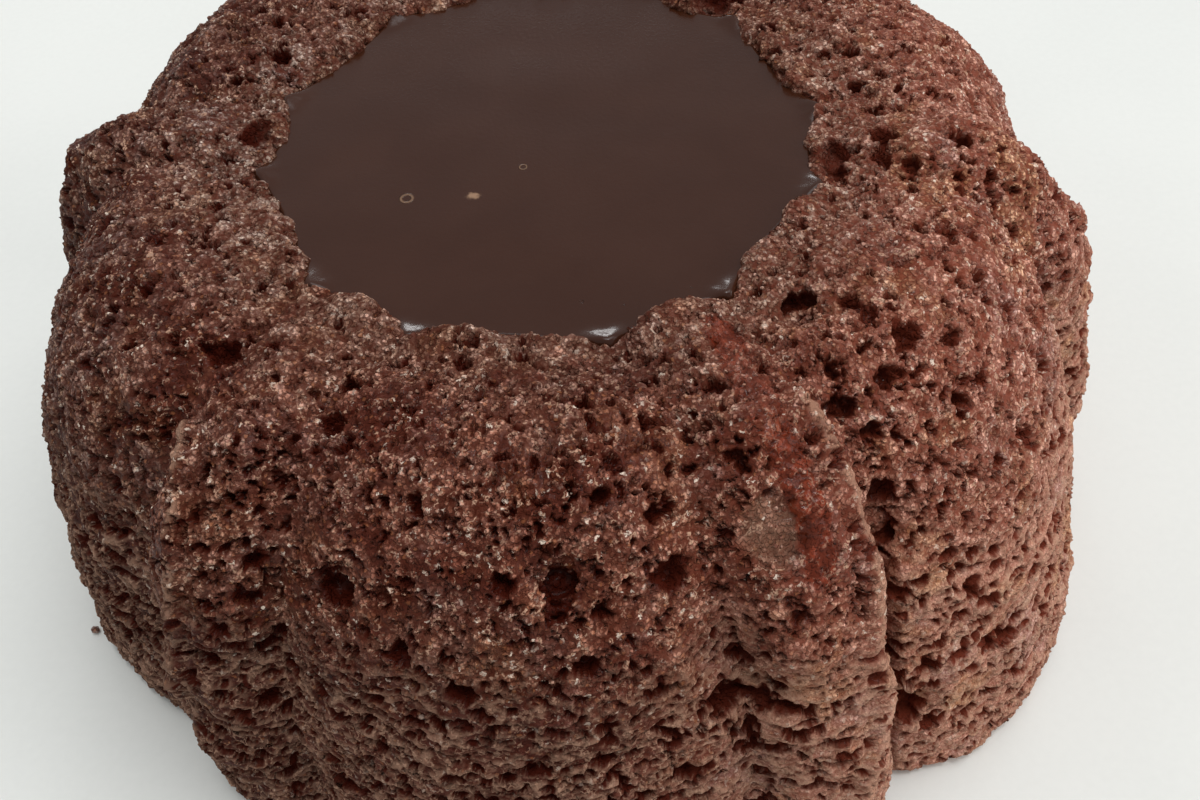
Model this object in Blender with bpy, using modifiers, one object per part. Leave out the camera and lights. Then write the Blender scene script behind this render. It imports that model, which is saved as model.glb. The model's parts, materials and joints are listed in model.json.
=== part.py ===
"""A small fluted chocolate cake, stood on its wide side, with ganache in its well.

Six broad lobes and six narrow ridges run down the cake in turn. Each ridge steps back
at a ledge part of the way down. Lobes and ridges roll over the shoulder, meet in
shallow grooves on the crown and end at the well, whose edge they scallop.

The cake is turned as a plain round blank with a well, and every point of the blank is
then moved out or in to the fluted form. Crags, a slot beside one ridge and the larger
crumb holes are relief in the same surface. The ganache is turned and moved by the same
rules, a hair smaller than the well, so it fits without touching.

The baking left it uneven: the crown leans a little to -X, one ridge stands a little
past its even place, and the foot of one lobe has spread.

Lengths are in metres and angles in degrees. An angle is measured about the upright
axis, from the front (-Y) towards +X. The origin is the middle of the underside.
"""

import math

import bpy
from mathutils import Vector, noise

# Whole cake
PETALS = 6
HEIGHT = 0.0365
TURN_STEPS = 144

# Broad lobes and narrow ridges: how far out they reach, the radius of their rounded
# backs, and how far out their shoulders start to fall away from the crown
LOBE_REACH = 0.0450
LOBE_BACK = 0.0212
LOBE_CROWN = 0.0284
RIDGE_REACH = 0.0453
RIDGE_BACK = 0.0052
RIDGE_CROWN = 0.0302

# A lobe's back narrows with its reach, down to this share of its radius
BACK_SHARE_AT_AXIS = 0.4

# Shape of the two shoulders, as exponents of a squared-off round
LOBE_FALL = 1.65
LOBE_SQUARE = 2.37
RIDGE_FALL = 2.20
RIDGE_SQUARE = 1.83

# Ledge on each ridge, grooves between lobe and ridge, and the foot
LEDGE_HEIGHT = 0.0235
LEDGE_DEPTH = 0.0011
LEDGE_SOFTNESS = 0.0004
LEDGE_ROWS = 0.0010
GROOVE_BLEND = 0.0014
GROOVE_DIP = 0.0013
GROOVE_SLOPE = 1.5
GROOVE_ANGLE_AT_WALL = 23.0
GROOVE_ANGLE_AT_WELL = 18.1
DIP_RISE_POWER = 6
DIP_LEFT_AT_WELL = 0.4
FOOT_ROUND = 0.0014

# Well and its edge
WELL_REACH = 0.0213
WELL_DEPTH = 0.0180
WELL_TAPER = 0.0030
LOBE_BULGE = 0.0017
RIDGE_BULGE = 0.0013
LIP_DROP = 0.0012

# Ganache
GANACHE_DROP = 0.0015
GANACHE_GAP = 0.0003

# Uneven baking: the crown's lean, the ridge that stands past its even place, the lobe
# whose foot has spread, and slow swells and finer crags, which fade out at the foot and
# the well
CROWN_LEAN = Vector((-0.0010, 0.0, 0.0))
STRAY_RIDGE_ANGLE = 31.0
STRAY_RIDGE_TURN = 2.2
STRAY_RIDGE_SPREAD = 13.0
SPREAD_FOOT_ANGLE = 50.0
SPREAD_FOOT_WIDTH = 20.0
SPREAD_FOOT = 0.0014
SWELL_SIZE = 0.021
SWELL_HEIGHT = 0.0005
CRAG_SIZE = 0.0048
CRAG_HEIGHT = 0.00045
CRAG_ROUGHNESS = 0.9
CRAG_FINENESS = 2.1
CRAG_LAYERS = 2
RIDGE_CRAG_GAIN = 0.8
RELIEF_PLACE = Vector((3.7, 1.9, 5.3))
RELIEF_FADE = 0.0030

# Larger holes in the crumb and crags on the ridges. Each is an angle, a radius and a
# height, then half its width, half its tallness, and its depth or how far it stands out.
HOLES = (
    (40.0, 0.0370, 0.0280, 0.0012, 0.0032, 0.0022),
    (40.9, 0.0415, 0.0104, 0.0015, 0.0014, 0.0015),
    (23.5, 0.0404, 0.0208, 0.0026, 0.0010, 0.0014),
    (6.6, 0.0360, 0.0318, 0.0012, 0.0020, 0.0015),
    (-14.9, 0.0367, 0.0298, 0.0012, 0.0016, 0.0012),
    (46.5, 0.0245, 0.0356, 0.0015, 0.0015, 0.0015),
)
CRAGS = (
    (90.0, 0.0392, 0.0285, 0.0017, 0.0013, 0.0007),
    (90.0, 0.0417, 0.0205, 0.0018, 0.0013, 0.0011),
    (-90.0, 0.0365, 0.0335, 0.0035, 0.0030, 0.0010),
)

# Rows of faces from the middle of the well's floor, over the crown, to the underside
WELL_FLOOR_RING = WELL_REACH * 0.6
WELL_ROWS = 4
CROWN_ROWS = 5
SHOULDER_ROWS = 9
WALL_ROWS = 10
FOOT_RING = FOOT_ROUND * 0.3
UNDERSIDE_RING = LOBE_REACH * 0.55
FILLING_ROWS = 3

# Colours, as linear red, green and blue, and how matte each surface is
CRUMB_COLOUR = (0.100, 0.044, 0.030, 1.0)
CRUMB_ROUGHNESS = 0.75
GANACHE_COLOUR = (0.045, 0.025, 0.020, 1.0)
GANACHE_ROUGHNESS = 0.25
GANACHE_SHARP_ANGLE = 40.0

PETAL_ANGLE = 360.0 / PETALS
TOLERANCE = 1e-6


def angle_from_centre(angle, centre):
    """Signed angle from the nearest of the evenly spaced petals that start at centre."""
    return (angle - centre + PETAL_ANGLE / 2) % PETAL_ANGLE - PETAL_ANGLE / 2


def smooth_larger(first, second, blend):
    """The larger of two lengths, with a soft change from one to the other."""
    share = min(max(0.5 + 0.5 * (first - second) / blend, 0.0), 1.0)
    return second * (1 - share) + first * share + blend * share * (1 - share)


def smooth_step(value):
    """A soft rise from 0 to 1 as value goes from 0 to 1."""
    value = min(max(value, 0.0), 1.0)
    return value * value * (3 - 2 * value)


def rounded_back(offset_angle, reach, back):
    """Distance out to a round back of the given radius, whose far point is at reach."""
    middle = reach - back
    offset = math.radians(abs(offset_angle))
    edge = math.asin(min(1.0, back / middle)) if middle > back else math.pi / 2
    if offset >= edge:
        tangent = math.sqrt(max(middle * middle - back * back, 0.0))
        return tangent - GROOVE_SLOPE * LOBE_REACH * (offset - edge)
    across = middle * math.sin(offset)
    return middle * math.cos(offset) + math.sqrt(back * back - across * across)


def shoulder_reach(rise, crown, reach, fall, square):
    """Reach of a lobe or ridge at a rise between 0, the foot, and 1, the crown."""
    return crown + (reach - crown) * (1 - min(rise, 1.0) ** fall) ** (1 / square)


def side_radius(angle, rise):
    """Radius of the fluted side at an angle and a rise."""
    lobe = shoulder_reach(rise, LOBE_CROWN, LOBE_REACH, LOBE_FALL, LOBE_SQUARE)
    share = BACK_SHARE_AT_AXIS + (1 - BACK_SHARE_AT_AXIS) * lobe / LOBE_REACH
    below_ledge = 1 / (1 + math.exp((rise * HEIGHT - LEDGE_HEIGHT) / LEDGE_SOFTNESS))
    ridge_reach = RIDGE_REACH - LEDGE_DEPTH * below_ledge
    ridge = shoulder_reach(rise, RIDGE_CROWN, ridge_reach, RIDGE_FALL, RIDGE_SQUARE)
    radius = smooth_larger(
        rounded_back(angle_from_centre(angle, 0), lobe, LOBE_BACK * share),
        rounded_back(angle_from_centre(angle, PETAL_ANGLE / 2), ridge, RIDGE_BACK),
        GROOVE_BLEND,
    )
    below_round = 1 - min(rise * HEIGHT / FOOT_ROUND, 1.0)
    return radius - FOOT_ROUND * (1 - math.sqrt(1 - below_round ** 2))


def across_petal(angle, groove_angle):
    """How far across its lobe or ridge an angle lies: 0 on top and 1 in the groove.

    The second value is True on a ridge.
    """
    from_lobe = abs(angle_from_centre(angle, 0))
    if from_lobe <= groove_angle:
        return from_lobe / groove_angle, False
    from_ridge = abs(angle_from_centre(angle, PETAL_ANGLE / 2))
    return from_ridge / (PETAL_ANGLE / 2 - groove_angle), True


def well_radius(angle, depth):
    """Radius of the well's scalloped wall at an angle, and a depth between 0 and 1."""
    across, on_ridge = across_petal(angle, GROOVE_ANGLE_AT_WELL)
    bulge = RIDGE_BULGE if on_ridge else LOBE_BULGE
    return WELL_REACH - bulge * (1 - across ** 2) - WELL_TAPER * depth


def groove_dip(angle, inward):
    """Drop of the crown towards its grooves; inward is 0 at the shoulder, 1 at the well."""
    swing = GROOVE_ANGLE_AT_WELL - GROOVE_ANGLE_AT_WALL
    across, _ = across_petal(angle, GROOVE_ANGLE_AT_WALL + swing * inward)
    return GROOVE_DIP * across ** 2 * (1 - (1 - DIP_LEFT_AT_WELL) * inward)


def at_angle(angle, radius, height):
    """The point at an angle, a radius and a height."""
    turn = math.radians(angle)
    return Vector((radius * math.sin(turn), -radius * math.cos(turn), height))


def angle_of(point):
    """The angle of a point about the upright axis."""
    return math.degrees(math.atan2(point.x, -point.y))


def fluted_point(blank):
    """Where a point of the cake's round blank goes in the even fluted form."""
    angle = angle_of(blank)
    radius = math.hypot(blank.x, blank.y)
    if radius > LOBE_REACH - TOLERANCE:
        rise = blank.z / HEIGHT
        dip = groove_dip(angle, 0.0) * rise ** DIP_RISE_POWER
        return at_angle(angle, side_radius(angle, rise), blank.z - dip)
    if blank.z < TOLERANCE:
        return at_angle(angle, radius / LOBE_REACH * side_radius(angle, 0.0), 0.0)
    if blank.z > HEIGHT - TOLERANCE:
        inward = (LOBE_REACH - radius) / (LOBE_REACH - WELL_REACH)
        outer = side_radius(angle, 1.0)
        across = outer + (well_radius(angle, 0.0) - outer) * inward
        drop = groove_dip(angle, inward) + LIP_DROP * inward ** 2
        return at_angle(angle, across, HEIGHT - drop)
    depth = (HEIGHT - blank.z) / WELL_DEPTH
    lip = HEIGHT - groove_dip(angle, 1.0) - LIP_DROP
    floor = HEIGHT - WELL_DEPTH
    height = floor + (lip - floor) * (1 - depth)
    return at_angle(angle, radius / WELL_REACH * well_radius(angle, depth), height)


def filling_point(blank):
    """Where a point of the ganache's round blank goes, just inside the even well."""
    angle = angle_of(blank)
    radius = math.hypot(blank.x, blank.y)
    depth = (HEIGHT - blank.z) / WELL_DEPTH
    reach = well_radius(angle, depth) - GANACHE_GAP
    return at_angle(angle, radius / WELL_REACH * reach, blank.z)


def baked_point(point):
    """Where the uneven baking moves a point of the even form."""
    angle = angle_of(point)
    away = (angle - STRAY_RIDGE_ANGLE) / STRAY_RIDGE_SPREAD
    angle += STRAY_RIDGE_TURN * math.exp(-away * away)
    along_foot = (angle - SPREAD_FOOT_ANGLE) / SPREAD_FOOT_WIDTH
    spread = SPREAD_FOOT * math.exp(-along_foot * along_foot) * (1 - point.z / HEIGHT) ** 2
    radius = math.hypot(point.x, point.y)
    radius += spread * min(radius / LOBE_REACH, 1.0)
    return at_angle(angle, radius, point.z) + CROWN_LEAN * (point.z / HEIGHT)


def local_height(point, marks):
    """How far the holes or crags of a list reach at a point."""
    height = 0.0
    for angle, radius, rise, width, tallness, reach in marks:
        away = point - at_angle(angle, radius, rise)
        spread = (away.x ** 2 + away.y ** 2) / width ** 2 + away.z ** 2 / tallness ** 2
        height += reach * math.exp(-spread)
    return height


def relief(point, on_crown):
    """How far the baked surface stands out at a point; below zero is a hollow."""
    swell = SWELL_HEIGHT * noise.noise(point / SWELL_SIZE + RELIEF_PLACE)
    place = point / CRAG_SIZE + RELIEF_PLACE
    crags = CRAG_HEIGHT * noise.fractal(place, CRAG_ROUGHNESS, CRAG_FINENESS, CRAG_LAYERS)
    from_ridge = abs(angle_from_centre(angle_of(point), PETAL_ANGLE / 2))
    near_ridge = smooth_step(1 - from_ridge / (PETAL_ANGLE / 2 - GROOVE_ANGLE_AT_WALL))
    height = swell + crags * (1 + RIDGE_CRAG_GAIN * near_ridge)
    height += local_height(point, CRAGS) - local_height(point, HOLES)
    if on_crown:
        from_well = math.hypot(point.x, point.y) - WELL_REACH
        return height * smooth_step(from_well / RELIEF_FADE)
    return height * smooth_step(point.z / RELIEF_FADE)


def turned_blank(name, profile, collection):
    """A round solid, turned from a profile that runs from the axis back to the axis."""
    mesh = bpy.data.meshes.new(name + "_profile")
    edges = [(index, index + 1) for index in range(len(profile) - 1)]
    mesh.from_pydata([(radius, 0.0, height) for radius, height in profile], edges, [])
    outline = bpy.data.objects.new(name + "_profile", mesh)
    collection.objects.link(outline)
    turn = outline.modifiers.new("turn", "SCREW")
    turn.steps = TURN_STEPS
    turn.render_steps = TURN_STEPS
    turn.use_merge_vertices = True
    turn.merge_threshold = TOLERANCE
    evaluated = outline.evaluated_get(bpy.context.evaluated_depsgraph_get())
    solid = bpy.data.meshes.new_from_object(evaluated)
    bpy.data.objects.remove(outline)
    bpy.data.meshes.remove(mesh)
    solid.name = name
    body = bpy.data.objects.new(name, solid)
    collection.objects.link(body)
    return body


def steps_between(first, last, count):
    """Evenly spaced values after first, up to and with last."""
    return [first + (last - first) * index / count for index in range(1, count + 1)]


def cake_profile():
    """The cake's blank: well floor, well wall, crown, side and underside."""
    floor = HEIGHT - WELL_DEPTH
    profile = [(0.0, floor), (WELL_FLOOR_RING, floor), (WELL_REACH, floor)]
    profile += [(WELL_REACH, height) for height in steps_between(floor, HEIGHT, WELL_ROWS)]
    crown = steps_between(WELL_REACH, LOBE_REACH, CROWN_ROWS)
    profile += [(radius, HEIGHT) for radius in crown]
    above_ledge = LEDGE_HEIGHT + LEDGE_ROWS
    below_ledge = LEDGE_HEIGHT - LEDGE_ROWS
    turns = steps_between(math.pi / 2, 0.0, SHOULDER_ROWS)
    heights = [above_ledge + (HEIGHT - above_ledge) * math.sin(turn) for turn in turns]
    heights += [LEDGE_HEIGHT, below_ledge]
    heights += steps_between(below_ledge, FOOT_ROUND, WALL_ROWS)
    heights += [FOOT_RING, 0.0]
    profile += [(LOBE_REACH, height) for height in heights]
    profile += [(UNDERSIDE_RING, 0.0), (0.0, 0.0)]
    return profile


def ganache_profile():
    """The ganache's blank: level top, side and underside."""
    top = HEIGHT - GANACHE_DROP
    bottom = HEIGHT - WELL_DEPTH + GANACHE_GAP
    profile = [(0.0, top), (WELL_FLOOR_RING, top), (WELL_REACH, top)]
    profile += [(WELL_REACH, height) for height in steps_between(top, bottom, FILLING_ROWS)]
    return profile + [(0.0, bottom)]


def surface_material(name, colour, roughness):
    """A plain material of one colour."""
    material = bpy.data.materials.new(name)
    material.use_nodes = True
    shader = material.node_tree.nodes["Principled BSDF"]
    shader.inputs["Base Color"].default_value = colour
    shader.inputs["Roughness"].default_value = roughness
    shader.inputs["Metallic"].default_value = 0.0
    material.diffuse_color = colour
    return material


def build_cake(collection):
    """The baked cake, fluted and then roughened by its relief."""
    cake = turned_blank("cake", cake_profile(), collection)
    mesh = cake.data
    blanks = [vertex.co.copy() for vertex in mesh.vertices]
    for vertex in mesh.vertices:
        vertex.co = baked_point(fluted_point(vertex.co))
    mesh.update()
    normals = [vertex.normal.copy() for vertex in mesh.vertices]
    for vertex, blank, normal in zip(mesh.vertices, blanks, normals):
        on_side = math.hypot(blank.x, blank.y) > LOBE_REACH - TOLERANCE
        on_crown = blank.z > HEIGHT - TOLERANCE
        if on_side or on_crown:
            vertex.co += normal * relief(vertex.co, on_crown)
    mesh.shade_smooth()
    mesh.materials.append(surface_material("crumb", CRUMB_COLOUR, CRUMB_ROUGHNESS))
    return cake


def build_ganache(collection):
    """The ganache that fills the well."""
    ganache = turned_blank("ganache", ganache_profile(), collection)
    mesh = ganache.data
    for vertex in mesh.vertices:
        vertex.co = baked_point(filling_point(vertex.co))
    mesh.shade_smooth()
    mesh.set_sharp_from_angle(angle=math.radians(GANACHE_SHARP_ANGLE))
    mesh.materials.append(surface_material("ganache", GANACHE_COLOUR, GANACHE_ROUGHNESS))
    return ganache


def centre_on_axis(pieces):
    """Move the pieces together so that the first one's box is centred on the axis."""
    points = [vertex.co for vertex in pieces[0].data.vertices]
    middle_x = (min(point.x for point in points) + max(point.x for point in points)) / 2
    middle_y = (min(point.y for point in points) + max(point.y for point in points)) / 2
    shift = Vector((middle_x, middle_y, 0.0))
    for piece in pieces:
        for vertex in piece.data.vertices:
            vertex.co -= shift
        piece.data.update()


def main():
    for old in list(bpy.data.objects):
        bpy.data.objects.remove(old)
    collection = bpy.data.collections.new("chocolate_lava_cake")
    bpy.context.scene.collection.children.link(collection)
    centre_on_axis([build_cake(collection), build_ganache(collection)])


main()
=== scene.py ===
"""Looks of a small fluted chocolate cake with a well of ganache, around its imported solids.

The crust is spun as a plain round blank, moved to the fluted form of the solids, parted
into lobes and ridges, and given its pores, layers and grain by geometry nodes.
Lengths are in metres, but in millimetres in node graphs and where a name ends in _MM.
Angles are in degrees about the upright axis, from the front (-Y) towards +X.
"""

import functools
import json
import math
import random

import bmesh
import bpy
import numpy as np
from mathutils import Euler, Matrix, Vector, noise

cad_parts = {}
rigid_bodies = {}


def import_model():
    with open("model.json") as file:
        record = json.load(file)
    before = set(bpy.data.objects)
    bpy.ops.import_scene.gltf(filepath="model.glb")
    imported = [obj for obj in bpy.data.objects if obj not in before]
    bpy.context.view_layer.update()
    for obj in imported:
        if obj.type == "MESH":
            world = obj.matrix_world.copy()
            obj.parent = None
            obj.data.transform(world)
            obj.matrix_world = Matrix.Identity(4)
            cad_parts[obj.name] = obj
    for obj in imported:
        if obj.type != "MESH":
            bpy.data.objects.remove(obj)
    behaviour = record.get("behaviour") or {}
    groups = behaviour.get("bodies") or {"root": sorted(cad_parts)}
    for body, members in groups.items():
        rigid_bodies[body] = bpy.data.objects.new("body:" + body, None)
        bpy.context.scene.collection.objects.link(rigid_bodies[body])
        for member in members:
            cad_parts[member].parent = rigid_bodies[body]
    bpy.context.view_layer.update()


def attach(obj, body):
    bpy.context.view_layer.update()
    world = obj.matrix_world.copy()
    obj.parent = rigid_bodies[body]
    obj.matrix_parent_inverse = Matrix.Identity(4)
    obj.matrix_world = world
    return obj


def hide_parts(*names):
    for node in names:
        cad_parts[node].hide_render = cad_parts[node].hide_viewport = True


bl_info = {
    "name": "Chocolate lava cake",
    "version": (1, 0, 0),
    "blender": (4, 5, 0),
    "location": "3D View > Sidebar > Lava cake",
    "description": "Builds the crust, the ganache and the loose crumbs of a small fluted cake",
    "category": "Add Mesh",
}

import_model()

# Form of the solids: six broad lobes and six narrow ridges
PETALS = 6
PETAL_ANGLE = 360.0 / PETALS
HEIGHT = 0.0365
LOBE_REACH = 0.0450
LOBE_BACK = 0.0212
LOBE_CROWN = 0.0284
RIDGE_REACH = 0.0453
RIDGE_BACK = 0.0052
RIDGE_CROWN = 0.0302
LOBE_FALL = 1.65
LOBE_SQUARE = 2.37
RIDGE_FALL = 2.20
RIDGE_SQUARE = 1.83
LEDGE_HEIGHT = 0.0235
LEDGE_DEPTH = 0.0011
LEDGE_SOFTNESS = 0.0004
GROOVE_BLEND = 0.0014
GROOVE_DIP = 0.0013
GROOVE_ANGLE_AT_WALL = 23.0
GROOVE_ANGLE_AT_WELL = 18.1
FOOT_ROUND = 0.0014
WELL_REACH = 0.0213
WELL_DEPTH = 0.0180
WELL_TAPER = 0.0030
LOBE_BULGE = 0.0017
RIDGE_BULGE = 0.0013
LIP_DROP = 0.0012
GANACHE_DROP = 0.0015
GANACHE_GAP = 0.0003
BACK_SHARE_AT_AXIS = 0.4
GROOVE_SLOPE = 1.5
DIP_LEFT_AT_WELL = 0.4
DIP_RISE_POWER = 6
TOLERANCE = 1e-6

# Uneven baking, as in the solids
CROWN_LEAN = Vector((-0.0010, 0.0, 0.0))
STRAY_RIDGE_ANGLE = 31.0
STRAY_RIDGE_TURN = 2.2
STRAY_RIDGE_SPREAD = 13.0
SPREAD_FOOT_ANGLE = 50.0
SPREAD_FOOT_WIDTH = 20.0
SPREAD_FOOT = 0.0014
SWELL_SIZE = 0.021
SWELL_HEIGHT = 0.0005
CRAG_SIZE = 0.0048
CRAG_HEIGHT = 0.00045
CRAG_ROUGHNESS = 0.9
CRAG_FINENESS = 2.1
CRAG_LAYERS = 2
RIDGE_CRAG_GAIN = 0.8
RELIEF_PLACE = Vector((3.7, 1.9, 5.3))
RELIEF_FADE = 0.0030

# Holes and crags of the solids: angle, radius, height, half width, half tallness, depth
HOLES = (
    (40.0, 0.0370, 0.0280, 0.0012, 0.0032, 0.0022),
    (40.9, 0.0415, 0.0104, 0.0015, 0.0014, 0.0015),
    (23.5, 0.0404, 0.0208, 0.0026, 0.0010, 0.0014),
    (6.6, 0.0360, 0.0318, 0.0012, 0.0020, 0.0015),
    (-14.9, 0.0367, 0.0298, 0.0012, 0.0016, 0.0012),
    (46.5, 0.0245, 0.0356, 0.0015, 0.0015, 0.0015),
)
CRAGS = (
    (90.0, 0.0392, 0.0285, 0.0017, 0.0013, 0.0007),
    (90.0, 0.0417, 0.0205, 0.0018, 0.0013, 0.0011),
    (-90.0, 0.0365, 0.0335, 0.0035, 0.0030, 0.0010),
)

# Mesh of the crust: columns to a petal, rows from the foot to inside the well
PETAL_COLUMNS = 75
LOBE_COLUMNS = 54
CRUST_ROWS = 104
OUTLINE_SAMPLES = 1200
UNDERSIDE_ROWS = 100
LIP_INSIDE = 0.0026
FINE_LEVELS = 2

# Scattered pores: place of the pattern, size of its cells, how often one has a pore on
# the crown and on the wall, narrowest and widest radius in cells, and depth in mm
PORE_KINDS = (
    ((0.0, 0.0, 0.0), 3.3, 0.15, 0.80, 0.14, 0.36, 1.45),
    ((3.0, 8.0, 2.0), 1.9, 0.80, 0.66, 0.20, 0.50, 1.10),
    ((5.0, 1.0, 8.0), 1.0, 2.00, 0.35, 0.26, 0.52, 0.75),
)
PIT_DEPTH_MM = 1.4
DISH_DEPTH_MM = 0.8

# Single pits that stand out: angle, radius, height, half width, half tallness, all in mm
PITS_MM = (
    (41.4, 35.4, 29.0, 1.0, 1.5),
    (41.0, 36.4, 26.4, 0.9, 1.7),
    (6.6, 35.6, 31.4, 1.0, 1.3),
    (6.4, 36.6, 29.8, 1.1, 1.2),
    (17.2, 35.8, 30.6, 1.5, 1.3),
    (16.5, 33.4, 33.8, 0.7, 0.6),
    (11.2, 32.2, 35.2, 0.7, 0.5),
    (1.4, 36.2, 32.0, 0.9, 0.9),
    (-15.4, 36.9, 29.2, 1.2, 1.3),
    (-22.6, 26.4, 35.2, 0.8, 0.5),
    (-18.2, 30.5, 35.1, 0.8, 0.9),
    (-8.3, 38.9, 27.4, 0.9, 0.7),
    (8.4, 39.1, 27.0, 1.2, 0.8),
    (14.6, 39.6, 23.6, 1.3, 0.7),
    (23.2, 39.7, 19.2, 2.2, 0.8),
    (20.8, 39.4, 19.6, 1.6, 0.7),
    (22.9, 38.4, 23.0, 0.9, 0.7),
    (47.3, 23.8, 35.3, 0.8, 0.7),
    (49.2, 24.2, 35.3, 0.6, 0.6),
    (35.1, 27.3, 36.2, 0.6, 0.6),
    (51.6, 26.7, 36.1, 0.9, 0.6),
    (52.2, 31.0, 35.6, 1.2, 0.7),
    (46.9, 31.9, 34.8, 0.9, 0.7),
    (41.3, 31.5, 34.1, 0.7, 1.0),
    (42.6, 33.2, 32.8, 0.8, 0.7),
    (52.7, 35.4, 32.3, 0.7, 0.8),
    (54.8, 38.6, 27.2, 0.7, 0.9),
    (40.9, 41.4, 9.2, 1.7, 1.3),
    (43.3, 42.6, 7.4, 1.0, 0.7),
    (44.0, 41.4, 16.4, 0.9, 0.7),
    (49.3, 42.9, 13.5, 0.8, 0.6),
    (89.6, 24.0, 36.2, 1.0, 0.9),
    (88.6, 29.6, 36.2, 0.8, 0.7),
    (86.0, 20.4, 35.2, 1.4, 1.6),
    (82.0, 20.6, 34.9, 1.0, 1.2),
    (147.0, 20.6, 35.2, 1.7, 1.4),
    (105.9, 23.2, 35.6, 0.8, 0.7),
    (-88.5, 22.6, 35.5, 1.5, 0.8),
    (-110.7, 24.4, 36.1, 0.9, 0.9),
    (-40.9, 29.0, 35.2, 1.1, 0.7),
    (-71.8, 32.8, 35.1, 0.9, 0.7),
    (-24.3, 37.4, 29.5, 0.9, 0.7),
    (-23.5, 39.8, 22.2, 1.2, 0.9),
    (91.6, 36.4, 32.6, 0.9, 0.9),
)

# Paths down the front ridges, as angle, radius and height in mm: the glossy red crease
# left of the right one, the crests of both, and the groove right of the right one,
# which is dug in and painted with shadow
CREASE_MM = (
    (34.0, 22.9, 35.6),
    (31.9, 28.0, 36.2),
    (30.9, 31.2, 36.1),
    (31.2, 33.1, 34.8),
    (31.1, 35.4, 33.5),
    (30.9, 37.1, 31.8),
    (30.4, 38.3, 29.9),
)
RIGHT_CREST_MM = (
    (36.0, 29.7, 35.8),
    (35.6, 34.5, 33.6),
    (35.3, 38.6, 28.7),
    (34.1, 40.9, 23.1),
    (35.2, 41.9, 17.3),
    (33.0, 44.0, 10.4),
    (31.8, 44.6, 1.0),
)
LEFT_CREST_MM = (
    (-36.2, 34.0, 34.0),
    (-34.8, 34.9, 33.9),
    (-32.2, 37.4, 32.4),
    (-31.3, 39.7, 29.0),
    (-31.1, 41.3, 25.3),
    (-32.5, 43.0, 17.0),
)
GROOVE_MM = (
    (40.0, 36.8, 28.5),
    (38.9, 39.5, 17.8),
    (39.4, 40.8, 10.2),
    (39.0, 41.6, 2.0),
)
# Smooth tan hollow beside the crease: angle, radius, height, half width, half tallness
PATCH_MM = (27.1, 36.0, 32.2, 2.2, 3.0)
# Orange spot on the right ridge, with the same numbers
ORANGE_SPOT_MM = (37.5, 38.4, 20.4, 1.5, 1.9)

# Bubbles in the ganache, as x, y and half size, a path of the smallest ones as angle,
# radius and height, and a crumb that shows through the ganache
GANACHE_TOP_MM = 35.0
BUBBLE_TALLNESS_MM = 9.0
BUBBLES_MM = (
    (-9.9, -6.6, 0.42),
    (-1.9, -3.0, 0.26),
)
FROTH_MM = (
    (-11.3, 16.3, GANACHE_TOP_MM),
    (20.0, 17.6, GANACHE_TOP_MM),
    (35.8, 18.5, GANACHE_TOP_MM),
)
SPECK_MM = (-5.1, -6.2, GANACHE_TOP_MM)
SPECK_HALF_SIZES_MM = (0.55, 0.45, 1.0)

# Depth of the finest relief, which is bump
GRAIN_BUMP = 0.00016
BUBBLE_BUMP = 0.00012

# A crumb that lies beside the foot: x, y and half size
FALLEN_CRUMB_MM = (-40.0, -24.1, 0.5)

# Loose crumbs lie in clusters, where the crust looks upwards at least this much and is
# less than this much of a pore
CRUMB_CLUSTER_SIZE = 0.0035
CRUMB_CLUSTER_EDGE = 0.08
CRUMBS_LIE_ABOVE = 0.45
CRUMBS_LIE_OUTSIDE = 0.1

# Mesh of the ganache: columns, and rows that crowd towards its edge; the climb of its edge
# starts this far from the middle of a lobe or ridge and keeps this share elsewhere
GANACHE_COLUMNS = 360
GANACHE_ROWS = 60
GANACHE_CROWDING = 1.6
GANACHE_EDGE_DEPTH = 0.004
CORNER_START = 0.55
CLIMB_ELSEWHERE = 0.15
GANACHE_WAVE_HEIGHT = 0.00006
GANACHE_WAVE_SIZE = 0.006

# Broad lights: name, direction it comes from, spread, share of strength, colour
LIGHTS = (
    ("skylight", (0.25, 0.12, 1.00), 50.0, 1.0, (0.98, 0.99, 1.0)),
    ("window", (0.95, 0.00, 0.26), 40.0, 0.62, (1.0, 0.97, 0.93)),
    ("lamp", (0.10, -0.10, 1.00), 8.0, 0.26, (1.0, 1.0, 1.0)),
    ("back_window", (-0.15, 0.90, 0.20), 9.0, 0.13, (1.0, 1.0, 1.0)),
)
SKY_COLOUR = (0.95, 0.98, 1.0)
FLOOR_HALF_SIZE = 4.0

# Camera, fitted to the built solids
EYE = (0.01302, -0.0737, 0.09546)
CAMERA_YAW = 8.55
CAMERA_PITCH = 50.61
CAMERA_ROLL = -4.56
CAMERA_LENS_MM = 38.03

TO_MM = 1000.0


def angle_from_centre(angle, centre):
    """Signed angle from the nearest of the evenly spaced petals that start at centre."""
    return (angle - centre + PETAL_ANGLE / 2) % PETAL_ANGLE - PETAL_ANGLE / 2


def smooth_larger(first, second, blend):
    """The larger of two lengths, with a soft change from one to the other."""
    share = min(max(0.5 + 0.5 * (first - second) / blend, 0.0), 1.0)
    return second * (1 - share) + first * share + blend * share * (1 - share)


def smooth_step(value):
    """A soft rise from 0 to 1 as value goes from 0 to 1."""
    value = min(max(value, 0.0), 1.0)
    return value * value * (3 - 2 * value)


def rounded_back(offset_angle, reach, back):
    """Distance out to a round back of the given radius, whose far point is at reach."""
    middle = reach - back
    offset = math.radians(abs(offset_angle))
    edge = math.asin(min(1.0, back / middle)) if middle > back else math.pi / 2
    if offset >= edge:
        tangent = math.sqrt(max(middle * middle - back * back, 0.0))
        return tangent - GROOVE_SLOPE * LOBE_REACH * (offset - edge)
    across = middle * math.sin(offset)
    return middle * math.cos(offset) + math.sqrt(back * back - across * across)


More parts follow.
